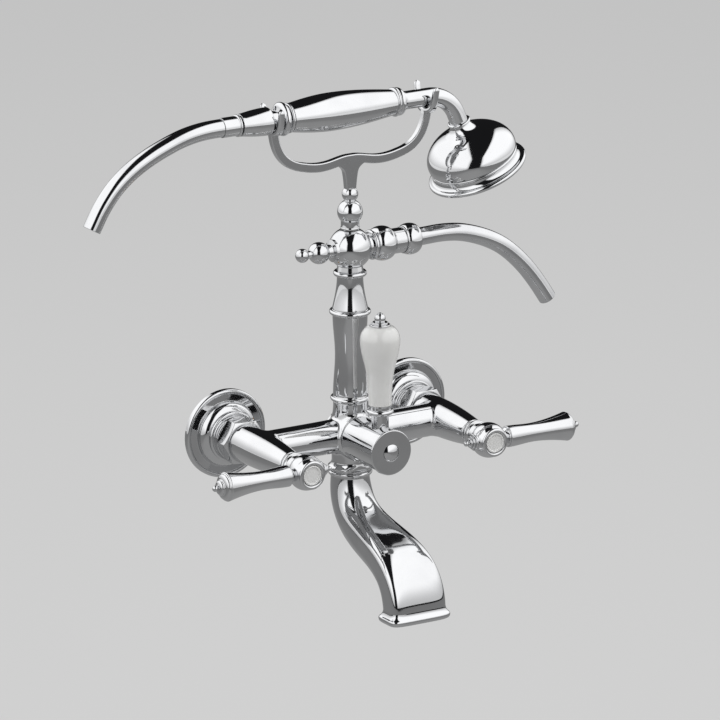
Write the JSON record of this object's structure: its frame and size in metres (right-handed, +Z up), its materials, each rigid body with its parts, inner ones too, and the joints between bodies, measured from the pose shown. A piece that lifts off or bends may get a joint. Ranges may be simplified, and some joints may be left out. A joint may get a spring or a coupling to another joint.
{
  "type": "wall mounted bath faucet",
  "caption": "Chrome wall mounted bath faucet with cross lever handles, a diverter with a porcelain lever, a flat spout, and a hand shower on a raised cradle.",
  "frame": {"origin": "midway between the two wall inlets, on the face of the wall", "axes": "+X to the right as a user faces the faucet, +Y into the wall along the inlets, +Z up the riser"},
  "size_m": [0.3833, 0.1732, 0.364],
  "materials": {
    "chrome": "polished chrome plate on brass",
    "hose": "smooth bright sleeve of a shower hose",
    "brass": "machined brass",
    "steel": "stainless steel",
    "porcelain": "glazed white porcelain",
    "plastic": "moulded acetal",
    "rubber": "moulded rubber"
  },
  "bodies": {
    "body": {"left_union": "brass", "right_union": "brass", "left_flange": "chrome", "right_flange": "chrome", "left_union_nut": "chrome", "right_union_nut": "chrome", "inlet_washers": "rubber", "valve_body": "chrome", "left_cartridge": "plastic", "right_cartridge": "plastic", "left_bonnet": "chrome", "right_bonnet": "chrome", "diverter_cartridge": "plastic", "diverter_bonnet": "brass", "lower_riser": "chrome", "upper_riser": "chrome", "outlet_ball": "chrome", "side_finial": "chrome", "outlet_nipple": "chrome", "outlet_hose_nut": "chrome", "outlet_washer": "rubber", "outlet_hose": "hose", "swivel_pin": "steel", "spout_nut": "chrome", "spout": "chrome", "spout_screen": "plastic"},
    "left_handle": {"left_spindle": "brass", "left_hub": "chrome", "left_lever": "chrome", "left_lever_tip": "chrome", "left_hub_finial": "chrome", "left_screw": "steel", "left_index": "porcelain"},
    "right_handle": {"right_spindle": "brass", "right_hub": "chrome", "right_lever": "chrome", "right_lever_tip": "chrome", "right_hub_finial": "chrome", "right_screw": "steel", "right_index": "porcelain"},
    "diverter": {"diverter_spindle": "brass", "diverter_drum": "chrome", "diverter_screw": "steel", "diverter_button": "chrome", "diverter_stem": "chrome", "diverter_grip": "porcelain", "diverter_finial": "chrome"},
    "cradle": {"cradle_post": "chrome", "cradle_fork": "chrome"},
    "hand_shower": {"rear_cone_nut": "chrome", "hose_ferrule": "chrome", "rear_collar": "chrome", "shower_grip": "chrome", "front_collar": "chrome", "shower_neck": "chrome", "shower_bell": "chrome", "spray_plate": "chrome", "spray_nozzles": "rubber", "shower_hose": "hose"}
  },
  "joints": [
    {"name": "left_handle_turn", "type": "hinge", "parent": "body", "child": "left_handle", "pos_m": [-0.075, -0.113, 0], "axis": [0, -1, 0], "range_deg": [0, 90]},
    {"name": "right_handle_turn", "type": "hinge", "parent": "body", "child": "right_handle", "pos_m": [0.075, -0.113, 0], "axis": [0, 1, 0], "range_deg": [0, 90]},
    {"name": "diverter_turn", "type": "hinge", "parent": "body", "child": "diverter", "pos_m": [0, -0.0888, 0], "axis": [0, 1, 0], "range_deg": [-45, 45]},
    {"name": "cradle_swivel", "type": "hinge", "parent": "body", "child": "cradle", "pos_m": [0, -0.0484, 0.16], "axis": [0, 0, 1], "range_deg": [-10, 6]},
    {"name": "hand_shower_lift", "type": "slide", "parent": "cradle", "child": "hand_shower", "axis": [0, 0, 1], "range_m": [0, 0.15]}
  ]
}
